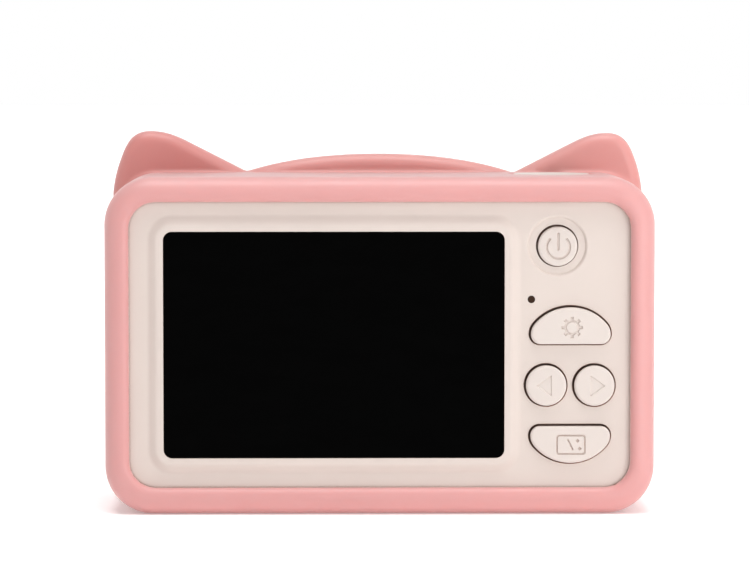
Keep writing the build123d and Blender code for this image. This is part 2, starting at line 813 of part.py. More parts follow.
board_part("processor", (0.5, 47.0), (11.0, 11.0), 1.3)
board_part("memory_chip", (-13.5, 47.0), (9.0, 8.0), 1.0)
board_part("power_chip", (3.0, 9.0), (6.0, 6.0), 1.0)

with BuildPart() as board_connectors:
    with BuildSketch(at_y(board_front_y + 2.4)):
        with Locations((16.7, 48.5)):
            Rectangle(6.0, 4.0)
        with Locations((-18.0, 15.5)):
            Rectangle(4.0, 6.0)
    extrude(amount=2.4)
    with BuildSketch(at_y(board_front_y + 1.5)):
        with Locations((0.0, 14.2)):
            Rectangle(12.0, 3.0)
    extrude(amount=1.5)
    chamfer(board_connectors.faces().sort_by(Axis.Y)[-2:].edges(), 0.15)
save(board_connectors, "board_connectors")

with BuildPart() as board_coils:
    with BuildSketch(at_y(board_front_y + 2.2)):
        with Locations((9.5, 8.5), (9.5, 13.5), (-8.0, 9.5)):
            RectangleRounded(4.0, 4.0, 0.8)
    extrude(amount=2.2)
    with BuildSketch(at_y(board_front_y + 2.3)):
        with Locations((9.5, 8.5), (9.5, 13.5), (-8.0, 9.5)):
            Circle(1.2)
    extrude(amount=0.4, mode=Mode.SUBTRACT)
save(board_coils, "board_coils")

# ---------------------------------------------------------------- shutter release
with BuildPart() as shutter_button:
    with BuildSketch(Plane.XY.offset(shutter_flange_z)):
        with Locations(shutter_centre):
            Circle(shutter_r)
    extrude(amount=shutter_top_z - shutter_flange_z)
    fillet(shutter_button.faces().sort_by(Axis.Z)[-1].edges(), shutter_edge_r)
    with BuildSketch(Plane.XY.offset(shutter_flange_z)):
        with Locations(shutter_centre):
            Circle(shutter_r + shutter_flange)
    extrude(amount=inner_high_z - moving_gap - shutter_flange_z)
    with BuildSketch(Plane.XY.offset(shutter_flange_z)):
        with Locations(shutter_centre):
            Circle(shutter_r - 1.5)
            Circle(2.4, mode=Mode.SUBTRACT)
    extrude(amount=shutter_top_z - shutter_flange_z - 1.5, mode=Mode.SUBTRACT)
    with BuildSketch(Plane.XY.offset(shutter_plunger_z)):
        with Locations(shutter_centre):
            Circle(1.6)
    extrude(amount=shutter_flange_z - shutter_plunger_z + 1)
save(shutter_button, "shutter_button")

with BuildPart() as shutter_plunger:
    with BuildSketch(Plane.XY.offset(shutter_plunger_z - 2.0)):
        with Locations(shutter_centre):
            Circle(1.75)
    extrude(amount=2.0)
save(shutter_plunger, "shutter_plunger")

with BuildPart() as shutter_switch:
    with BuildSketch(Plane.XY.offset(shutter_shelf_z + 1.0)):
        with Locations(shutter_centre):
            RectangleRounded(6.0, 6.0, 0.3)
    extrude(amount=3.5)
    with BuildSketch(Plane.XY.offset(shutter_shelf_z + 2.6)):
        with Locations(shutter_centre):
            Circle(1.83)
    extrude(amount=3.5, mode=Mode.SUBTRACT)
save(shutter_switch, "shutter_switch")

with BuildPart() as shutter_board:
    with BuildSketch(Plane.XY.offset(shutter_shelf_z)):
        with Locations((shutter_centre[0] + 0.6, 0)):
            RectangleRounded(13.6, 10.6, 0.8)
    extrude(amount=1.0)
save(shutter_board, "shutter_board")

# ---------------------------------------------------------------- ports and their door
with BuildPart() as port_door:
    with BuildSketch(at_x(door_outer_x)):
        with Locations(((door_rear_y + door_front_y) / 2, (door_pin_z + door_high_z) / 2)):
            Rectangle(door_width, door_high_z - door_pin_z)
    extrude(amount=door_thickness)
    fillet(port_door.edges().filter_by(Axis.X).group_by(Axis.Z)[-1], 1.2)
    with BuildSketch(at_y(door_front_y)):
        with Locations((door_pin_x, door_pin_z)):
            Circle(door_thickness / 2)
    extrude(amount=door_width)
    with BuildSketch(at_y(door_front_y + 1)):
        with Locations((door_pin_x, door_pin_z)):
            Circle(door_pin_r + 0.05)
    extrude(amount=door_width + 2, mode=Mode.SUBTRACT)
    # Scoop for a fingernail at the free end
    with BuildSketch(at_y((door_rear_y + door_front_y) / 2 + 2.2)):
        with Locations((door_outer_x, door_high_z - 2.4)):
            Circle(0.8)
    extrude(amount=4.4, mode=Mode.SUBTRACT)
save(port_door, "port_door")

with BuildPart() as port_door_pin:
    with BuildSketch(at_y(door_front_y + 1.1)):
        with Locations((door_pin_x, door_pin_z)):
            Circle(door_pin_r)
    extrude(amount=door_width + 2.2)
save(port_door_pin, "port_door_pin")

with BuildPart() as usb_socket:
    with BuildSketch(at_x(usb_mouth_x)):
        with Locations((usb_y, usb_z)):
            RectangleRounded(usb_height, usb_width, 1.3)
    extrude(amount=usb_depth)
    with BuildSketch(at_x(usb_mouth_x)):
        with Locations((usb_y, usb_z)):
            RectangleRounded(usb_height - 0.6, usb_width - 0.6, 1.1)
            RectangleRounded(0.7, usb_width - 2.2, 0.3, mode=Mode.SUBTRACT)
    extrude(amount=usb_depth - 1.0, mode=Mode.SUBTRACT)
save(usb_socket, "usb_socket")

with BuildPart() as card_socket:
    with BuildSketch(at_x(card_socket_x)):
        with Locations((board_front_y + 0.95, card_z)):
            Rectangle(1.9, card_width + 2.0)
    extrude(amount=15.6)
    with BuildSketch(at_x(card_socket_x - 0.1)):
        with Locations((card_y, card_z)):
            Rectangle(card_thickness + 0.2, card_width + 0.2)
    extrude(amount=14.7, mode=Mode.SUBTRACT)
save(card_socket, "card_socket")

with BuildPart() as memory_card:
    with BuildSketch(at_y(card_y + card_thickness / 2)):
        with BuildLine():
            Polyline(
                (card_mouth_x, card_z - card_width / 2),
                (card_mouth_x + 15, card_z - card_width / 2),
                (card_mouth_x + 15, card_z + card_width / 2 - 1.3),
                (card_mouth_x + 8.5, card_z + card_width / 2 - 1.3),
                (card_mouth_x + 7.2, card_z + card_width / 2),
                (card_mouth_x, card_z + card_width / 2),
                close=True,
            )
        make_face()
    extrude(amount=card_thickness)
    # Raised lip for the fingernail
    with BuildSketch(at_y(card_y + card_thickness / 2 + 0.25)):
        with Locations((card_mouth_x + card_lip / 2, card_z)):
            Rectangle(card_lip, card_width - 1)
    extrude(amount=0.4)
save(memory_card, "memory_card")

# ---------------------------------------------------------------- battery and sound
with BuildPart() as battery:
    with BuildSketch(at_y(battery_front_y)):
        with Locations(battery_centre):
            RectangleRounded(25.0, 35.5, 2.0)
    extrude(amount=8.0)
    fillet(battery.edges().group_by(Axis.Y)[-1] + battery.edges().group_by(Axis.Y)[0], 0.8)
save(battery, "battery")

with BuildPart() as battery_foam:
    with BuildSketch(at_y(shell_inner_y)):
        with Locations(battery_centre):
            Rectangle(18.0, 28.0)
    extrude(amount=shell_inner_y - battery_front_y)
save(battery_foam, "battery_foam")


def lead_pair(name, route, spread):
    """Two round leads side by side along a route, a step apart along the spread direction."""
    with BuildPart() as leads:
        for side in (-1, 1):
            shifted = [tuple(c + side * 0.9 * s for c, s in zip(point, spread)) for point in route]
            with BuildLine() as path:
                FilletPolyline(*shifted, radius=lead_bend_r)
            with BuildSketch(Plane(origin=path.line @ 0, z_dir=path.line % 0)):
                Circle(lead_r)
            sweep(path=path.line)
    save(leads, name)


lead_pair(
    "battery_leads",
    [(16.7, 2.5, 42.05), (16.7, 2.5, 44.4), (16.7, -8.8, 44.4), (16.7, -8.8, 46.5)],
    (1, 0, 0),
)
lead_pair(
    "speaker_leads",
    [(-27.0, 5.55, 15.5), (-27.0, -8.8, 15.5), (-20.0, -8.8, 15.5)],
    (0, 0, 1),
)

with BuildPart() as speaker:
    with BuildSketch(at_y(shell_inner_y - 0.5)):
        with Locations(speaker_centre):
            Circle(speaker_r)
    extrude(amount=1.8)
    with BuildSketch(at_y(shell_inner_y - 2.3)):
        with Locations(speaker_centre):
            Circle(speaker_r - 2.5)
    extrude(amount=1.8)
    with BuildSketch(at_y(shell_inner_y - 0.5)):
        with Locations(speaker_centre):
            Circle(speaker_r - 1.2)
            Circle(3.2, mode=Mode.SUBTRACT)
    extrude(amount=0.5, mode=Mode.SUBTRACT)
save(speaker, "speaker")

with BuildPart() as speaker_gasket:
    with BuildSketch(at_y(shell_inner_y)):
        with Locations(speaker_centre):
            Circle(speaker_r)
            Circle(speaker_r - 1.2, mode=Mode.SUBTRACT)
    extrude(amount=0.5)
save(speaker_gasket, "speaker_gasket")

with BuildPart() as microphone:
    with BuildSketch(at_y(shell_inner_y)):
        with Locations(microphone_centre):
            Circle(2.0)
    extrude(amount=2.2)
    with BuildSketch(at_y(shell_inner_y)):
        with Locations(microphone_centre):
            Circle(0.5)
    extrude(amount=0.8, mode=Mode.SUBTRACT)
save(microphone, "microphone")

# ---------------------------------------------------------------- lens
with BuildPart() as sensor_board:
    with BuildSketch(at_y(sensor_board_front_y)):
        with Locations(lens_centre):
            RectangleRounded(15.0, 15.0, 0.8)
    extrude(amount=1.0)
save(sensor_board, "sensor_board")

with BuildPart() as image_sensor:
    with BuildSketch(at_y(sensor_board_front_y + 0.9)):
        with Locations(lens_centre):
            Rectangle(6.4, 5.4)
    extrude(amount=0.9)
save(image_sensor, "image_sensor")

with BuildPart() as sensor_flex:
    flex_top = lens_centre[1] - 5.0
    with BuildSketch(at_x(lens_centre[0] - 4.5)):
        with BuildLine():
            FilletPolyline(
                (sensor_board_front_y - 1.15, flex_top),
                (sensor_board_front_y - 1.15, flex_top - 3.6),
                (board_front_y + 1.65, flex_top - 6.4),
                (board_front_y + 1.65, flex_top - 10.0),
                radius=1.2,
            )
        trace(line_width=0.25)
    extrude(amount=9)
save(sensor_flex, "sensor_flex")

with BuildPart() as lens_holder:
    with BuildSketch(at_y(holder_front_y)):
        with Locations(lens_centre):
            Circle(7.0)
    extrude(amount=holder_front_y - sensor_board_front_y)
    with BuildSketch(at_y(1.0)):
        with Locations(lens_centre):
            RectangleRounded(15.0, 15.0, 1.0)
    extrude(amount=1.0 - sensor_board_front_y)
    with BuildSketch(at_y(holder_ear_y)):
        with Locations(lens_centre):
            SlotOverall(holder_post_points[0][1] - holder_post_points[1][1] + 4.4, 4.4, rotation=90)
    extrude(amount=1.2)
    with BuildSketch(at_y(holder_front_y)):
        with Locations(lens_centre):
            Circle(barrel_r + 0.05)
    extrude(amount=20, mode=Mode.SUBTRACT)
    with BuildSketch(at_y(sensor_board_front_y + 1.8)):
        with Locations(lens_centre):
            Rectangle(11.0, 11.0)
    extrude(amount=1.8, mode=Mode.SUBTRACT)
    with BuildSketch(at_y(holder_ear_y)):
        with Locations(*holder_post_points):
            Circle(small_screw_r + 0.12)
    extrude(amount=2, mode=Mode.SUBTRACT)
save(lens_holder, "lens_holder")

with BuildPart() as ir_filter:
    with BuildSketch(at_y(sensor_board_front_y + 1.8)):
        with Locations(lens_centre):
            Rectangle(10.6, 10.6)
    extrude(amount=0.4)
save(ir_filter, "ir_filter")

with BuildPart() as lens_barrel:
    with BuildSketch(lens_section):
        with BuildLine():
            Polyline(
                (3.2, 1.5), (barrel_r, 1.5), (barrel_r, 9.8), (7.6, 9.8), (7.6, 14.6),
                (6.6, 14.6), (5.5, 13.4), (5.5, 11.0), (4.2, 11.0), (3.6, 9.0), (3.6, 4.4),
                (3.2, 4.4), close=True,
            )
        make_face()
    revolve(axis=lens_axis)
save(lens_barrel, "lens_barrel")

# Each element is a disc between two spheres: its rim radius, rim ys and sphere radii
elements = {
    "lens_rear_element": (3.55, (4.9, 5.9), (14.0, 9.0)),
    "lens_front_element": (5.4, (11.3, 12.3), (24.0, 9.6)),
}
for name, (rim_r, (back_y, front_y), (back_sphere, front_sphere)) in elements.items():
    back_turn = degrees(asin(rim_r / back_sphere))
    front_turn = degrees(asin(rim_r / front_sphere))
    back_centre_y = back_y + back_sphere * cos(radians(back_turn))
    front_centre_y = front_y - front_sphere * cos(radians(front_turn))
    with BuildPart() as element:
        with BuildSketch(lens_section):
            with BuildLine():
                Line((0, back_centre_y - back_sphere), (0, front_centre_y + front_sphere))
                CenterArc((0, front_centre_y), front_sphere, 90 - front_turn, front_turn)
                Line((rim_r, front_y), (rim_r, back_y))
                CenterArc((0, back_centre_y), back_sphere, -90, back_turn)
            make_face()
        revolve(axis=lens_axis)
    save(element, name)

# Stepped black cone between the barrel and the cover glass
with BuildPart() as lens_baffle:
    with BuildSketch(lens_section):
        with BuildLine():
            Polyline(
                (8.1, 14.2), (9.3, 14.2), (9.3, 15.4), (10.6, 15.4), (10.6, 16.5), (12.7, 16.5),
                (12.7, 17.5), (9.7, 17.5), (9.7, 16.3), (8.8, 16.3), (8.8, 15.0), (8.1, 15.0),
                close=True,
            )
        make_face()
    revolve(axis=lens_axis)
save(lens_baffle, "lens_baffle")

with BuildPart() as lens_cover:
    with BuildSketch(lens_section):
        with Locations((0, turret_front_y + 0.1)):
            Rectangle(11.2, 0.95, align=(Align.MIN, Align.MIN))
    revolve(axis=lens_axis)
save(lens_cover, "lens_cover")

with BuildPart() as lens_ring:
    with BuildSketch(lens_section) as ring_section:
        with BuildLine():
            Polyline(
                (11.3, turret_front_y), (turret_r, turret_front_y), (turret_r, lens_front_y),
                (12.4, lens_front_y), (10.7, 19.0), (10.7, 18.7), (11.3, 18.7), close=True,
            )
        make_face()
        outer_corner = ring_section.vertices().sort_by_distance((turret_r, lens_front_y, lens_centre[1]))[0]
        fillet(outer_corner, 1.2)
    revolve(axis=lens_axis)
save(lens_ring, "lens_ring")

# ---------------------------------------------------------------- flash
with BuildPart() as flash_board:
    with BuildSketch(at_y(flash_board_front_y)):
        with Locations((flash_centre[0] - 0.4, flash_centre[1])):
            RectangleRounded(11.0, 8.0, 0.6)
    extrude(amount=1.0)
save(flash_board, "flash_board")

with BuildPart() as flash_led:
    with BuildSketch(at_y(flash_board_front_y + 0.9)):
        with Locations(flash_centre):
            Rectangle(3.2, 3.2)
    extrude(amount=0.9)
save(flash_led, "flash_led")

with BuildPart() as flash_window:
    with BuildSketch(at_y(shell_front_y)):
        with Locations(flash_centre):
            RectangleRounded(*flash_size, 1.75)
    extrude(amount=shell_front_y - shell_inner_y)
    fillet(flash_window.faces().sort_by(Axis.Y)[-1].edges(), 0.3)
    with BuildSketch(at_y(shell_inner_y)):
        with Locations(flash_centre):
            RectangleRounded(flash_size[0] + 1.6, flash_size[1] + 1.6, 2.4)
    extrude(amount=0.8)
save(flash_window, "flash_window")

# ---------------------------------------------------------------- fasteners and strap bar
with BuildPart() as housing_screws:
    with Locations(*[front_facing(x, screw_seat_y, z) for x, z in boss_points]):
        pan_head_screw(screw_head_r, screw_head_height, screw_shank_r, 10.0)
save(housing_screws, "housing_screws")

# The same small screw holds the main board and the lens holder
with BuildPart() as small_screws:
    board_places = [front_facing(x, board_front_y, z) for x, z in board_post_points]
    holder_places = [at_y(holder_ear_y - 1.2) * Location((x, z, 0)) for x, z in holder_post_points]
    with Locations(*board_places, *holder_places):
        pan_head_screw(1.5, 0.9, small_screw_r, 4.4)
save(small_screws, "small_screws")

with BuildPart() as strap_bar:
    with BuildSketch(Plane.XY.offset(strap_z - strap_bar_length / 2)):
        with Locations((strap_bar_x, strap_y)):
            Circle(strap_bar_r)
    extrude(amount=strap_bar_length)
save(strap_bar, "strap_bar")
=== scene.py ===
"""A kids digital camera in a cat-eared silicone jacket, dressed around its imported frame.

The jacket is one smooth silicone skin, made here as a mesh.  Every other part keeps its CAD
shape and gets a procedural material.  Lengths are in metres; +X is to the right of the person
behind the camera, +Y is the way the lens looks, and +Z is up.
"""
from itertools import product
from math import cos, radians, sin

import bmesh
import bpy
import numpy as np
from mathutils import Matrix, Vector


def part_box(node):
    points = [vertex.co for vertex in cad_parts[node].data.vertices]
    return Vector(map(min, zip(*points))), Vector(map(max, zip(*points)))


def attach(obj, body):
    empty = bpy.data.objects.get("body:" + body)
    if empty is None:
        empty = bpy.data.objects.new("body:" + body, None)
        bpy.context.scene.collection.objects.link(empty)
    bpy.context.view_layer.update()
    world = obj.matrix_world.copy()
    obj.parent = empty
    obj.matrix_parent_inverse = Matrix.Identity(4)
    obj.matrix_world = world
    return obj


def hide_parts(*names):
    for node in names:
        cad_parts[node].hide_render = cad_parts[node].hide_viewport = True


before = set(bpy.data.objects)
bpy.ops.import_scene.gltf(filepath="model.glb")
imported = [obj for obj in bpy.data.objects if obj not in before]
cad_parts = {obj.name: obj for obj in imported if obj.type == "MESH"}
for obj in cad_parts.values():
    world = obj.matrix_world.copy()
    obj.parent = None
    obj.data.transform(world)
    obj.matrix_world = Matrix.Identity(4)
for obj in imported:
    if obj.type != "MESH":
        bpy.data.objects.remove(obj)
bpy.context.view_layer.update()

MM = 0.001


# ---------------------------------------------------------------- places from the frame
def middle(node):
    """The middle of a CAD node's box."""
    low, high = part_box(node)
    return (low + high) / 2


jacket_low, jacket_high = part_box("silicone_jacket")
shell_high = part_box("front_shell")[1]
ring_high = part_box("lens_ring")[1]
LENS = middle("lens_ring")
FLASH = middle("flash_window")
MICROPHONE = middle("microphone")
SPEAKER = middle("speaker")
SHUTTER = middle("shutter_button")
DOOR = middle("port_door")
STRAP = middle("strap_bar")

# ---------------------------------------------------------------- jacket sizes
BODY_HALF_WIDTH = jacket_high.x
BODY_HEIGHT = 61.4 * MM
BODY_CORNER = 8.8 * MM
REAR_Y = jacket_low.y
FRONT_Y = 14.0 * MM
RIM_ROUND = 3.3 * MM
RIM_INNER_ROUND = 1.25 * MM
FRONT_ROUND = 2.8 * MM
HOUSING_GAP = 0.1 * MM
HOUSING_CORNER = 6.3 * MM
HOUSING_TOP = BODY_HEIGHT - 2.5 * MM
PLATE_Y = -18.2 * MM
SHELL_FRONT_Y = 11.7 * MM
CAVITY_ROUND = 0.8 * MM
OPENING_HALF_WIDTH = 45.5 * MM
OPENING_LOW = 4.9 * MM
OPENING_HIGH = 56.8 * MM
OPENING_CORNER = 4.9 * MM
CUT_ROUND = 0.5 * MM

# Ears and forehead, a plate along the jacket's front.  Points are (x, z) on the +X side.
PLATE_REAR_Y = 7.8 * MM
PLATE_ROUND = 2.1 * MM
CREASE_ROUND = 0.25 * MM
CREASE_FADE_IN = (0.6 * MM, 2.6 * MM)
CREASE_FADE_Y = 3 * MM
CREASE_FADE_Z = (57 * MM, 60 * MM)
EAR_FOOT_Z = 44.0 * MM
EAR_SIDE = Vector((49.95, 57.5)) * MM
EAR_SIDE_LEAN = radians(5)
EAR_LEAN = radians(22)
EAR_SLOPE = radians(27)
LEFT_SHOULDER = Vector((47.95, 65.3)) * MM
LEFT_PEAK = Vector((43.0, 69.14)) * MM
LEFT_SLOPE_START = Vector((36.1, 67.3)) * MM
RIGHT_SHOULDER = Vector((48.2, 64.9)) * MM
RIGHT_PEAK = Vector((43.4, 68.75)) * MM
RIGHT_SLOPE_START = Vector((37.0, 67.05)) * MM
FOREHEAD_TOP = 64.85 * MM
FOREHEAD_HALF_WIDTH = LEFT_SLOPE_START.x
FOREHEAD_REACH = 25 * MM
FOREHEAD_DROP = 2.7 * MM
FOREHEAD_END_DROP = 0.7 * MM
VALLEY_ROUND = 0.3 * MM

COLLAR_WIDTH = 2.6 * MM
COLLAR_RISE = 1.1 * MM
COLLAR_BLEND = 0.8 * MM
LENS_HOLE = ring_high.x - LENS.x + 0.5 * MM

# Cuts through the wall: half sizes and corners, and where each set of cuts starts
FLASH_HOLE = (4.4 * MM, 3.1 * MM, 2.6 * MM)
MICROPHONE_HOLE = 1.3 * MM
SPEAKER_HOLE = 6.2 * MM
SHUTTER_HOLE = 7.6 * MM
PORT_HOLE = (5.2 * MM, 16 * MM, 2.4 * MM)
PORT_HOLE_DROP = 1 * MM
STRAP_HOLE = (5 * MM, 6 * MM, 3 * MM)
REAR_CUT_Y = -17 * MM
FRONT_CUTS_Y = 9 * MM
TOP_CUT_Z = 56 * MM
SIDE_CUTS_X = 45 * MM

GRID_STEP = 0.59 * MM


# ---------------------------------------------------------------- signed distances
def both(a, b, soft):
    """What lies in both shapes, with a rounded edge where their surfaces cross."""
    corner = np.hypot(np.maximum(a + soft, 0), np.maximum(b + soft, 0))
    return corner + np.minimum(np.maximum(a, b) + soft, 0) - soft


def either(a, b, soft):
    """What lies in either shape, with a filled crease between their surfaces."""
    return -both(-a, -b, soft)


def rounded_rectangle(u, v, centre, half_u, half_v, corner):
    """Distance in a plane to a rectangle with round corners."""
    a = abs(u - centre[0]) - half_u + corner
    b = abs(v - centre[1]) - half_v + corner
    return np.hypot(np.maximum(a, 0), np.maximum(b, 0)) + np.minimum(np.maximum(a, b), 0) - corner


def outline_distance(x, z, outline):
    """Distance in a plane to a closed outline of points, negative inside."""
    nearest = np.full(np.broadcast(x, z).shape, np.inf)
    inside = np.zeros(nearest.shape, bool)
    for (ax, az), (bx, bz) in zip(outline, np.roll(outline, -1, axis=0)):
        edge_x, edge_z = bx - ax, bz - az
        from_x, from_z = x - ax, z - az
        along = (from_x * edge_x + from_z * edge_z) / (edge_x**2 + edge_z**2)
        along = np.clip(along, 0, 1)
        nearest = np.minimum(nearest, (from_x - edge_x * along) ** 2 + (from_z - edge_z * along) ** 2)
        if edge_z:
            inside ^= ((az > z) != (bz > z)) & (from_x < from_z * edge_x / edge_z)
    return np.where(inside, -1, 1) * np.sqrt(nearest)


def bezier(start, leave, arrive, end, reach=0.36, steps=14):
    """Points along a cubic from start to end that leaves and arrives along two directions."""
    t = np.linspace(0, 1, steps)[:, None]
    length = (end - start).length
    a = start + leave.normalized() * length * reach
    b = end - arrive.normalized() * length * reach
    return (
        (1 - t) ** 3 * np.array(start) + 3 * (1 - t) ** 2 * t * np.array(a)
        + 3 * (1 - t) * t**2 * np.array(b) + t**3 * np.array(end)
    )


def ear_outline(shoulder, peak, slope_start):
    """One ear, from its foot up its side, over the peak and down the slope into the body."""
    rise = Vector((-sin(EAR_SIDE_LEAN), cos(EAR_SIDE_LEAN)))
    lean = Vector((-sin(EAR_LEAN), cos(EAR_LEAN)))
    level = Vector((-1, 0))
    slope = Vector((-cos(EAR_SLOPE), -sin(EAR_SLOPE)))
    slope_end = slope_start + slope * 30 * MM
    return np.vstack([
        (EAR_SIDE.x, EAR_FOOT_Z),
        bezier(EAR_SIDE, rise, lean, shoulder),
        bezier(shoulder, lean, level, peak, 0.42)[1:],
        bezier(peak, level, slope, slope_start)[1:],
        slope_end,
        (slope_end.x, EAR_FOOT_Z),
    ])


LEFT_EAR = ear_outline(LEFT_SHOULDER, LEFT_PEAK, LEFT_SLOPE_START)
RIGHT_EAR = ear_outline(RIGHT_SHOULDER, RIGHT_PEAK, RIGHT_SLOPE_START)


def ears_and_forehead(x, z):
    """The plate's outline: two ears, a little unlike, and the low arc of the forehead between."""
    ears = np.minimum(outline_distance(-x, z, LEFT_EAR), outline_distance(x, z, RIGHT_EAR))
    reach = x / FOREHEAD_REACH
    arc = FOREHEAD_TOP - FOREHEAD_DROP * reach**2 - FOREHEAD_END_DROP * reach**4
    slant = (2 * FOREHEAD_DROP * reach + 4 * FOREHEAD_END_DROP * reach**3) / FOREHEAD_REACH
    forehead = np.maximum((z - arc) / np.hypot(1, slant), abs(x) - FOREHEAD_HALF_WIDTH)
    return either(ears, np.maximum(forehead, EAR_FOOT_Z - z), VALLEY_ROUND)


def fade(value, start, end):
    """0 before start and 1 after end, with a smooth step between."""
    t = np.clip((value - start) / (end - start), 0, 1)
    return t * t * (3 - 2 * t)


def jacket_outside(x, y, z):
    """The jacket's outside, with no room in it yet."""
    profile = rounded_rectangle(
        x, z, (0, BODY_HEIGHT / 2), BODY_HALF_WIDTH, BODY_HEIGHT / 2, BODY_CORNER
    )
    column = both(profile, REAR_Y - y, RIM_ROUND)
    ears = ears_and_forehead(x, z)
    plate = both(ears, PLATE_REAR_Y - y, PLATE_ROUND)
    crease = fade(-ears, *CREASE_FADE_IN) * fade(z, *CREASE_FADE_Z)
    crease = crease * fade(PLATE_REAR_Y + CREASE_FADE_Y - y, 0, 2 * MM)
    outside = either(column, plate, 1e-6 + CREASE_ROUND * crease)
    outside = both(outside, y - FRONT_Y, FRONT_ROUND)
    from_lens = np.hypot(x - LENS.x, z - LENS.z)
    ring = np.hypot(
        (from_lens - LENS_HOLE - COLLAR_WIDTH / 2) / (COLLAR_WIDTH / 2), (y - FRONT_Y) / COLLAR_RISE
    )
    collar = (ring - 1) * COLLAR_RISE
    return either(outside, collar, COLLAR_BLEND)


def openings(x, y, z):
    """Every cut through the jacket's wall, each with the softness of its edge."""
    from_lens = np.hypot(x - LENS.x, z - LENS.z)
    opening = rounded_rectangle(
        x, z, (0, (OPENING_LOW + OPENING_HIGH) / 2),
        OPENING_HALF_WIDTH, (OPENING_HIGH - OPENING_LOW) / 2, OPENING_CORNER,
    )
    front = FRONT_CUTS_Y - y
    flash = rounded_rectangle(x, z, (FLASH.x, FLASH.z), *FLASH_HOLE)
    microphone = np.hypot(x - MICROPHONE.x, z - MICROPHONE.z) - MICROPHONE_HOLE
    speaker = np.hypot(x - SPEAKER.x, z - SPEAKER.z) - SPEAKER_HOLE
    shutter = np.hypot(x - SHUTTER.x, y - SHUTTER.y) - SHUTTER_HOLE
    port = rounded_rectangle(y, z, (DOOR.y, DOOR.z - PORT_HOLE_DROP), *PORT_HOLE)
    strap = rounded_rectangle(y, z, (STRAP.y, STRAP.z), *STRAP_HOLE)
    return (
        (np.maximum(opening, y - REAR_CUT_Y), RIM_INNER_ROUND),
        (np.maximum(from_lens - LENS_HOLE, front), CUT_ROUND),
        (np.maximum(flash, front), CUT_ROUND),
        (np.maximum(microphone, front), CUT_ROUND),
        (np.maximum(speaker, front), CUT_ROUND),
        (np.maximum(shutter, TOP_CUT_Z - z), CUT_ROUND),
        (np.maximum(port, x + SIDE_CUTS_X), CUT_ROUND),
        (np.maximum(strap, SIDE_CUTS_X - x), CUT_ROUND),
    )


def jacket(x, y, z):
    """Distance to the silicone, negative inside it."""
    solid = jacket_outside(x, y, z)
    for cut, soft in openings(x, y, z):
        solid = both(solid, -cut, soft)
    housing = rounded_rectangle(
        x, z, (0, BODY_HEIGHT / 2), shell_high.x + HOUSING_GAP,
        HOUSING_TOP - BODY_HEIGHT / 2 + HOUSING_GAP, HOUSING_CORNER + HOUSING_GAP,
    )
    room = both(housing, PLATE_Y - y, CAVITY_ROUND)
    room = both(room, y - SHELL_FRONT_Y - HOUSING_GAP, CAVITY_ROUND)
    return np.maximum(solid, -room)


# ---------------------------------------------------------------- mesh from a distance
def surface_net(shape, low, high, step):
    """Points and quads of the surface where a shape's distance is zero, one point to a cell."""
    axes = [np.arange(a, b + step, step) for a, b in zip(low, high)]
    grids = np.meshgrid(*axes, indexing="ij", sparse=True)
    field = shape(*grids)
    cells = tuple(n - 1 for n in field.shape)
    total = np.zeros(cells + (3,))
    count = np.zeros(cells)
    for axis in range(3):
        others = [a for a in range(3) if a != axis]
        for offset in product((0, 1), repeat=2):
            start = [0, 0, 0]
            start[others[0]], start[others[1]] = offset
            end = list(start)
            end[axis] = 1
            a = field[tuple(slice(s, s + n) for s, n in zip(start, cells))]
            b = field[tuple(slice(s, s + n) for s, n in zip(end, cells))]
            crossed = (a < 0) != (b < 0)
            share = np.where(crossed, a / np.where(crossed, a - b, 1), 0)
            for other, corner in zip(others, offset):
                total[..., other] += crossed * corner
            total[..., axis] += share
            count += crossed
    used = count > 0
    number = np.full(cells, -1)
    number[used] = np.arange(used.sum())
    points = np.argwhere(used) + total[used] / count[used][:, None]
    points = points * step + np.array([axis[0] for axis in axes])
    quads = []
    for axis in range(3):
        u, v = [(1, 2), (2, 0), (0, 1)][axis]
        a = np.take(field, range(field.shape[axis] - 1), axis) < 0
        b = np.take(field, range(1, field.shape[axis]), axis) < 0
        edges = np.argwhere(a != b)
        edges = edges[(edges[:, u] > 0) & (edges[:, v] > 0)]
        back_u = np.eye(3, dtype=int)[u]
        back_v = np.eye(3, dtype=int)[v]
        around = [edges - back_u - back_v, edges - back_v, edges, edges - back_u]
        quad = np.stack([number[tuple(cell.T)] for cell in around], axis=1)
        outward = a[tuple(edges.T)]
        quads.append(np.where(outward[:, None], quad, quad[:, ::-1]))
    return points, np.vstack(quads)


def settle(points, shape, rounds, reach):
    """Moves points onto a shape's surface, along its slope, by at most the reach each round."""
    nudge = 0.02 * MM
    for _ in range(rounds):
        slope = np.empty_like(points)
        for axis in range(3):
            step = np.eye(3)[axis] * nudge
            slope[:, axis] = (shape(*(points + step).T) - shape(*(points - step).T)) / (2 * nudge)
        steepness = np.maximum((slope**2).sum(axis=1), 0.25)
        move = np.clip(shape(*points.T) / steepness, -reach, reach)
        points = points - move[:, None] * slope
    return points


def relax(points, quads, share):
    """Moves each point towards the middle of its neighbours."""
    edges = np.vstack([quads[:, [0, 1]], quads[:, [1, 2]], quads[:, [2, 3]], quads[:, [3, 0]]])
    total = np.zeros_like(points)
    for axis in range(3):
        total[:, axis] = np.bincount(edges[:, 0], points[edges[:, 1], axis], len(points))
        total[:, axis] += np.bincount(edges[:, 1], points[edges[:, 0], axis], len(points))
    count = np.bincount(edges.ravel(), minlength=len(points))
    return points + (total / count[:, None] - points) * share


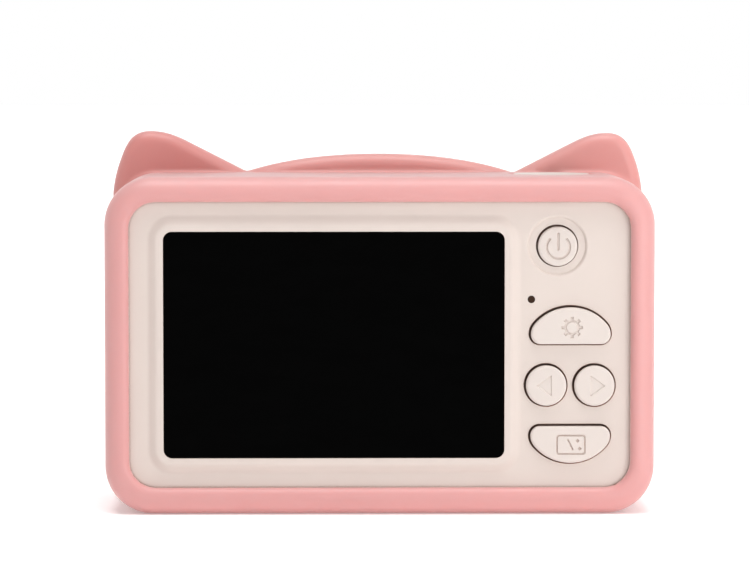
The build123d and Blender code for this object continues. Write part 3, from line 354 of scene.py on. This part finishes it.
def make_jacket():
    """The silicone jacket, as one smooth skin that stands for the CAD node."""
    margin = Vector((1, 1, 1)) * 1.1 * MM
    low = jacket_low - margin
    high = Vector((jacket_high.x, FRONT_Y + COLLAR_RISE, jacket_high.z)) + margin
    points, quads = surface_net(jacket, low, high, GRID_STEP)
    reach = 0.3 * MM
    points = settle(points, jacket, 2, reach)
    points = relax(points, quads, 0.5)
    points = settle(points, jacket, 3, reach)
    mesh = bpy.data.meshes.new("jacket_skin")
    mesh.from_pydata(points.tolist(), [], quads.tolist())
    mesh.validate()
    mesh.polygons.foreach_set("use_smooth", [True] * len(mesh.polygons))
    skin = bpy.data.objects.new("jacket_skin", mesh)
    bpy.context.scene.collection.objects.link(skin)
    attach(skin, "root")
    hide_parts("silicone_jacket")
    return skin


# ---------------------------------------------------------------- material building blocks
class Finish:
    """A node material in the making: one shader, and the textures that feed it."""

    def __init__(self, name, roughness=0.5, **settings):
        self.material = bpy.data.materials.new(name)
        self.material.use_nodes = True
        self.nodes = self.material.node_tree.nodes
        self.links = self.material.node_tree.links
        self.shader = self.nodes["Principled BSDF"]
        self.shader.inputs["Roughness"].default_value = roughness
        for socket, value in settings.items():
            self.shader.inputs[socket.replace("_", " ")].default_value = value
        coordinates = self.nodes.new("ShaderNodeTexCoord")
        self.place = coordinates.outputs["Object"]
        self.facing = coordinates.outputs["Normal"]
        self.normal = None

    def put(self, socket, output):
        """Links an output to the shader."""
        self.links.new(output, self.shader.inputs[socket])

    def stretched(self, factors):
        """The object's own coordinates, scaled along each axis."""
        mapping = self.nodes.new("ShaderNodeMapping")
        mapping.inputs["Scale"].default_value = factors
        self.links.new(self.place, mapping.inputs["Vector"])
        return mapping.outputs["Vector"]

    def parts(self, vector, *axes):
        """A vector output's parts along the named axes."""
        split = self.nodes.new("ShaderNodeSeparateXYZ")
        self.links.new(vector, split.inputs["Vector"])
        return [split.outputs[axis] for axis in axes]

    def noise(self, grain, detail=2.0, rough=0.5, place=None):
        """Noise whose grain is this many metres across."""
        noise = self.nodes.new("ShaderNodeTexNoise")
        noise.inputs["Scale"].default_value = 1 / grain
        noise.inputs["Detail"].default_value = detail
        noise.inputs["Roughness"].default_value = rough
        self.links.new(place or self.place, noise.inputs["Vector"])
        return noise.outputs["Fac"]

    def span(self, output, low, high, start=0.3, end=0.7):
        """Maps an output onto the range from low to high."""
        spread = self.nodes.new("ShaderNodeMapRange")
        spread.inputs["From Min"].default_value = start
        spread.inputs["From Max"].default_value = end
        spread.inputs["To Min"].default_value = low
        spread.inputs["To Max"].default_value = high
        self.links.new(output, spread.inputs["Value"])
        return spread.outputs["Result"]

    def mix(self, factor, first, second):
        """A colour between two, where each is a colour or an output."""
        mixed = self.nodes.new("ShaderNodeMix")
        mixed.data_type = "RGBA"
        self.links.new(factor, mixed.inputs["Factor"])
        for socket, colour in ((6, first), (7, second)):
            if isinstance(colour, tuple):
                mixed.inputs[socket].default_value = (*colour, 1)
            else:
                self.links.new(colour, mixed.inputs[socket])
        return mixed.outputs[2]

    def crevice(self, reach):
        """0 in narrow gaps, where surfaces stand within this many metres, and 1 in the open; the mask
        for painted shade.
        """
        openness = self.nodes.new("ShaderNodeAmbientOcclusion")
        openness.samples = 6
        openness.inputs["Distance"].default_value = reach
        return self.span(openness.outputs["AO"], 0, 1, 0.25, 0.62)

    def relief(self, height, depth, strength=1.0):
        """Adds a bump of this depth in metres over what is there already."""
        bump = self.nodes.new("ShaderNodeBump")
        bump.inputs["Strength"].default_value = strength
        bump.inputs["Distance"].default_value = depth
        self.links.new(height, bump.inputs["Height"])
        if self.normal is not None:
            self.links.new(self.normal, bump.inputs["Normal"])
        self.normal = bump.outputs["Normal"]
        self.put("Normal", self.normal)


def tinted(colour, factor):
    """A colour made lighter or darker."""
    return tuple(min(1.0, c * factor) for c in colour)


# ---------------------------------------------------------------- materials
SILICONE_PINK = (0.66, 0.308, 0.297)
# Painted shade for the backs of the ears and forehead: darker at the left end than at the right.
SILICONE_PAINTED_SHADE = ((0.60, 0.222, 0.202), (0.665, 0.28, 0.258))
HOUSING_CREAM = (0.685, 0.597, 0.549)
KEY_CREAM = (0.69, 0.615, 0.572)
GAP_REACH = 0.9 * MM
# Painted shade, a warm brown, put into the narrow gaps around keys and seams.
GAP_PAINTED_SHADE = (0.23, 0.06, 0.01)


def silicone():
    """Soft-touch pink silicone with a fine grain, and painted shade on the backs of the ears and
    forehead, darkest at the left ear.
    """
    finish = Finish(
        "silicone", 0.5, Subsurface_Weight=0.2, Subsurface_Scale=1.6 * MM,
        Subsurface_Radius=(1.0, 0.42, 0.34), Specular_IOR_Level=0.62,
        Sheen_Weight=0.35, Sheen_Roughness=0.4,
    )
    cloud = finish.span(finish.noise(16 * MM, 3), 0, 1)
    tone = finish.mix(cloud, tinted(SILICONE_PINK, 0.985), tinted(SILICONE_PINK, 1.015))
    specks = finish.span(finish.noise(0.35 * MM, 1), 0, 0.35, 0.68, 0.8)
    skin = finish.mix(specks, tone, tinted(SILICONE_PINK, 0.93))
    across, back_to_front = finish.parts(finish.place, "X", "Y")
    turned_back, = finish.parts(finish.facing, "Y")
    # Painted shade: rear-facing faces of the front plate get a darker colour, darkest towards the
    # left ear, standing in for light they miss.
    painted_shade = finish.mix(finish.span(across, 0, 1, -38 * MM, -12 * MM), *SILICONE_PAINTED_SHADE)
    ears = finish.mix(finish.span(turned_back, 1, 0, -0.35, 0.1), skin, painted_shade)
    finish.put("Base Color", finish.mix(finish.span(back_to_front, 0, 1, 5 * MM, 7 * MM), skin, ears))
    finish.put("Roughness", finish.span(finish.noise(4 * MM, 3), 0.4, 0.5))
    finish.relief(finish.noise(5 * MM, 2), 0.03 * MM, 0.35)
    finish.relief(finish.noise(0.22 * MM, 2), 0.012 * MM, 0.5)
    return finish.material


def moulded(name, colour, roughness=0.48, grain=0.18 * MM, depth=0.008 * MM, painted_gap_shade=None):
    """Injection-moulded plastic with a spark-eroded grain, faint flow clouding and, when a gap colour
    is given, painted shade in narrow gaps.
    """
    finish = Finish(name, roughness, Specular_IOR_Level=0.05)
    cloud = finish.span(finish.noise(12 * MM, 3), 0, 1)
    face = finish.mix(cloud, tinted(colour, 0.985), tinted(colour, 1.015))
    # Painted shade: an ambient-occlusion mask mixes the gap colour into narrow gaps where shade
    # falls.
    if painted_gap_shade is not None:
        face = finish.mix(finish.crevice(GAP_REACH), painted_gap_shade, face)
    finish.put("Base Color", face)
    finish.put("Roughness", finish.span(finish.noise(3 * MM, 3), roughness - 0.05, roughness + 0.06))
    finish.relief(finish.noise(grain, 2), depth, 0.5)
    return finish.material


def polished_black(name):
    """Coated black acrylic: almost no mirror, with a trace of wiping marks."""
    finish = Finish(name, 0.09, Specular_IOR_Level=0.012)
    wipe = finish.noise(7 * MM, 4, 0.6, finish.stretched((1, 1, 2.5)))
    darkest = (0.0004, 0.0004, 0.0004)
    finish.put("Base Color", finish.mix(finish.span(wipe, 0, 1), darkest, tinted(darkest, 1.75)))
    finish.put("Roughness", finish.span(wipe, 0.07, 0.16))
    return finish.material


def bare_metal(name, colour, roughness):
    """Metal with fine lines drawn along its length."""
    finish = Finish(name, roughness, Metallic=1.0)
    lines = finish.noise(0.3 * MM, 3, 0.6, finish.stretched((1, 1, 0.08)))
    finish.put("Base Color", finish.mix(finish.span(lines, 0, 1), tinted(colour, 0.93), colour))
    finish.put("Roughness", finish.span(lines, roughness - 0.06, roughness + 0.1))
    finish.relief(lines, 0.004 * MM, 0.5)
    return finish.material


def circuit_board():
    """Green solder mask over copper tracks."""
    finish = Finish("circuit_board", 0.35)
    tracks = finish.nodes.new("ShaderNodeTexBrick")
    tracks.inputs["Scale"].default_value = 1 / (6 * MM)
    tracks.inputs["Mortar Size"].default_value = 0.03
    tracks.inputs["Color1"].default_value = (0, 0, 0, 1)
    tracks.inputs["Color2"].default_value = (0.25, 0.25, 0.25, 1)
    tracks.inputs["Mortar"].default_value = (1, 1, 1, 1)
    turned = finish.nodes.new("ShaderNodeMapping")
    turned.inputs["Rotation"].default_value = (radians(90), 0, 0)
    finish.links.new(finish.place, turned.inputs["Vector"])
    finish.links.new(turned.outputs["Vector"], tracks.inputs["Vector"])
    mask = finish.mix(tracks.outputs["Color"], (0.012, 0.09, 0.045), (0.03, 0.19, 0.1))
    finish.put("Base Color", mask)
    finish.put("Roughness", finish.span(finish.noise(2 * MM, 2), 0.28, 0.42))
    finish.relief(tracks.outputs["Color"], 0.02 * MM, 0.6)
    return finish.material


def clear(name, colour, roughness, transmission=1.0, mirror=(1, 1, 1)):
    """Clear or frosted moulded glass, with a faint unevenness and a tint of coating."""
    finish = Finish(
        name, roughness, IOR=1.49, Specular_Tint=(*mirror, 1), Transmission_Weight=transmission
    )
    haze = finish.noise(2 * MM, 2)
    finish.put("Base Color", finish.mix(finish.span(haze, 0, 1), tinted(colour, 0.97), colour))
    finish.put("Roughness", finish.span(haze, roughness, roughness + 0.03))
    return finish.material


def foam():
    """Closed-cell foam, pitted all over."""
    finish = Finish("foam", 0.9)
    cells = finish.nodes.new("ShaderNodeTexVoronoi")
    cells.inputs["Scale"].default_value = 1 / (0.5 * MM)
    finish.links.new(finish.place, cells.inputs["Vector"])
    pits = finish.span(cells.outputs["Distance"], 0, 1, 0, 0.6)
    finish.put("Base Color", finish.mix(pits, (0.012, 0.012, 0.012), (0.05, 0.05, 0.05)))
    finish.relief(pits, 0.1 * MM, 0.8)
    return finish.material


def foil():
    """Crinkled pouch foil."""
    finish = Finish("foil", 0.32, Metallic=1.0)
    creases = finish.noise(4 * MM, 4, 0.55)
    tone = finish.mix(finish.span(creases, 0, 1), (0.52, 0.53, 0.55), (0.68, 0.69, 0.7))
    finish.put("Base Color", tone)
    finish.put("Roughness", finish.span(creases, 0.25, 0.42))
    finish.relief(creases, 0.25 * MM, 0.5)
    return finish.material


def make_finishes():
    """Every material, by the name of the record's material slot."""
    return {
        "silicone": silicone(),
        "housing_plastic": moulded("housing_plastic", HOUSING_CREAM, painted_gap_shade=GAP_PAINTED_SHADE),
        "key_plastic": moulded(
            "key_plastic", KEY_CREAM, 0.42, 0.12 * MM, 0.005 * MM, painted_gap_shade=GAP_PAINTED_SHADE
        ),
        "screen_black": polished_black("screen_black"),
        "panel_glass": polished_black("panel_glass"),
        "black_plastic": moulded("black_plastic", (0.012, 0.012, 0.013), 0.45),
        "grey_plastic": moulded("grey_plastic", (0.12, 0.12, 0.125), 0.5),
        "foam": foam(),
        "circuit_board": circuit_board(),
        "chip_resin": moulded("chip_resin", (0.018, 0.018, 0.02), 0.55, 0.08 * MM),
        "connector_plastic": moulded("connector_plastic", (0.68, 0.64, 0.52), 0.45),
        "ferrite": moulded("ferrite", (0.045, 0.045, 0.05), 0.6, 0.1 * MM, 0.02 * MM),
        "flex_film": moulded("flex_film", (0.27, 0.095, 0.02), 0.3, 0.6 * MM, 0.004 * MM),
        "steel": bare_metal("steel", (0.45, 0.45, 0.46), 0.32),
        "bright_steel": bare_metal("bright_steel", (0.62, 0.62, 0.63), 0.18),
        "foil": foil(),
        "lead_insulation": moulded("lead_insulation", (0.35, 0.02, 0.015), 0.4),
        "light_pipe": moulded("light_pipe", (0.042, 0.022, 0.014), 0.25),
        "led_package": moulded("led_package", (0.75, 0.6, 0.12), 0.3),
        "lens_glass": clear("lens_glass", (0.97, 0.98, 1.0), 0.0, mirror=(0.12, 0.16, 0.3)),
        "filter_glass": clear("filter_glass", (0.6, 0.85, 0.9), 0.0, mirror=(0.2, 0.1, 0.12)),
        "flash_lens": clear("flash_lens", (0.97, 0.96, 0.93), 0.3, 0.55),
        "ring_plastic": moulded("ring_plastic", KEY_CREAM, 0.3, 0.3 * MM, 0.003 * MM),
        "card_plastic": moulded("card_plastic", (0.02, 0.02, 0.022), 0.4),
    }


def dress(finishes):
    """Gives each CAD node the material of its slot."""
    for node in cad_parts.values():
        for place in node.material_slots:
            place.material = finishes[place.material.name.split(".")[0]]


# ---------------------------------------------------------------- studio
def make_floor():
    """A plain white light table that the camera stands on."""
    mesh = bpy.data.meshes.new("floor")
    reach = 6.0
    corners = [(-reach, -reach, 0), (reach, -reach, 0), (reach, reach, 0), (-reach, reach, 0)]
    mesh.from_pydata(corners, [], [(0, 1, 2, 3)])
    floor = bpy.data.objects.new("floor", mesh)
    bpy.context.scene.collection.objects.link(floor)
    finish = Finish(
        "floor_paper", 0.9, Emission_Color=(1, 1, 1, 1), Emission_Strength=0.2,
        Specular_IOR_Level=0.1,
    )
    paper = finish.span(finish.noise(3 * MM, 2), 0, 1)
    finish.put("Base Color", finish.mix(paper, (0.955, 0.952, 0.95), (0.965, 0.962, 0.96)))
    mesh.materials.append(finish.material)


def make_backdrop():
    """A plain white dome around the scene, seen and mirrored, that lights nothing by itself."""
    mesh = bpy.data.meshes.new("backdrop")
    ball = bmesh.new()
    bmesh.ops.create_uvsphere(ball, u_segments=48, v_segments=24, radius=8)
    ball.to_mesh(mesh)
    ball.free()
    dome = bpy.data.objects.new("backdrop", mesh)
    bpy.context.scene.collection.objects.link(dome)
    white = bpy.data.materials.new("backdrop_white")
    white.use_nodes = True
    glow = white.node_tree.nodes.new("ShaderNodeEmission")
    output = white.node_tree.nodes["Material Output"]
    white.node_tree.links.new(glow.outputs["Emission"], output.inputs["Surface"])
    mesh.materials.append(white)
    dome.visible_diffuse = False
    dome.visible_shadow = False


def lamp(name, towards, spread, strength):
    """A far soft light that shines from one direction over the whole floor."""
    light = bpy.data.lights.new(name, "SUN")
    light.angle = radians(spread)
    light.energy = strength
    sun = bpy.data.objects.new(name, light)
    sun.rotation_euler = Vector(towards).to_track_quat("Z", "Y").to_euler()
    bpy.context.scene.collection.objects.link(sun)


def softbox(name, place, aim, size, power):
    """A square soft light at a place, turned to an aim."""
    light = bpy.data.lights.new(name, "AREA")
    light.shape = "SQUARE"
    light.size = size
    light.energy = power
    box = bpy.data.objects.new(name, light)
    box.location = place
    box.rotation_euler = (Vector(place) - Vector(aim)).to_track_quat("Z", "Y").to_euler()
    box.visible_camera = False
    bpy.context.scene.collection.objects.link(box)


def make_lights():
    """A strong lamp above, a key and a close softbox on the right, weaker lamps, a bright room."""
    lamp("key", (0.7, -0.9, 0.5), 32, 0.44)
    lamp("side", (0.7, -0.35, 0.8), 50, 0.5)
    lamp("top", (0.0, -0.17, 1.0), 36, 1.9)
    lamp("fill", (-1.0, -0.2, 0.3), 50, 0.03)
    lamp("back", (-0.2, 0.9, 0.5), 60, 0.9)
    softbox("near", (0.2, -0.25, 0.01), (0, 0, 0.02), 0.12, 0.32)
    world = bpy.data.worlds.new("room")
    world.use_nodes = True
    world.node_tree.nodes["Background"].inputs["Strength"].default_value = 0.3
    world.node_tree.nodes["Background"].inputs["Color"].default_value = (1, 1, 1, 1)
    bpy.context.scene.world = world


def make_camera():
    """The photograph's view: from just above the ears, a little to the left, turned slightly down."""
    camera = bpy.data.cameras.new("view")
    camera.sensor_width = 36
    camera.lens = 169.3
    camera.clip_end = 50
    eye = bpy.data.objects.new("view", camera)
    place = Vector((-9.14, -656.4, 82.0)) * MM
    aim = Vector((-0.87, -16.5, 42.38)) * MM
    eye.location = place
    eye.rotation_euler = (aim - place).to_track_quat("-Z", "Y").to_euler()
    bpy.context.scene.collection.objects.link(eye)
    bpy.context.scene.camera = eye


finishes = make_finishes()
dress(finishes)
skin = make_jacket()
skin.data.materials.append(finishes["silicone"])
make_floor()
make_backdrop()
make_lights()
make_camera()
bpy.context.scene.view_settings.view_transform = "Standard"
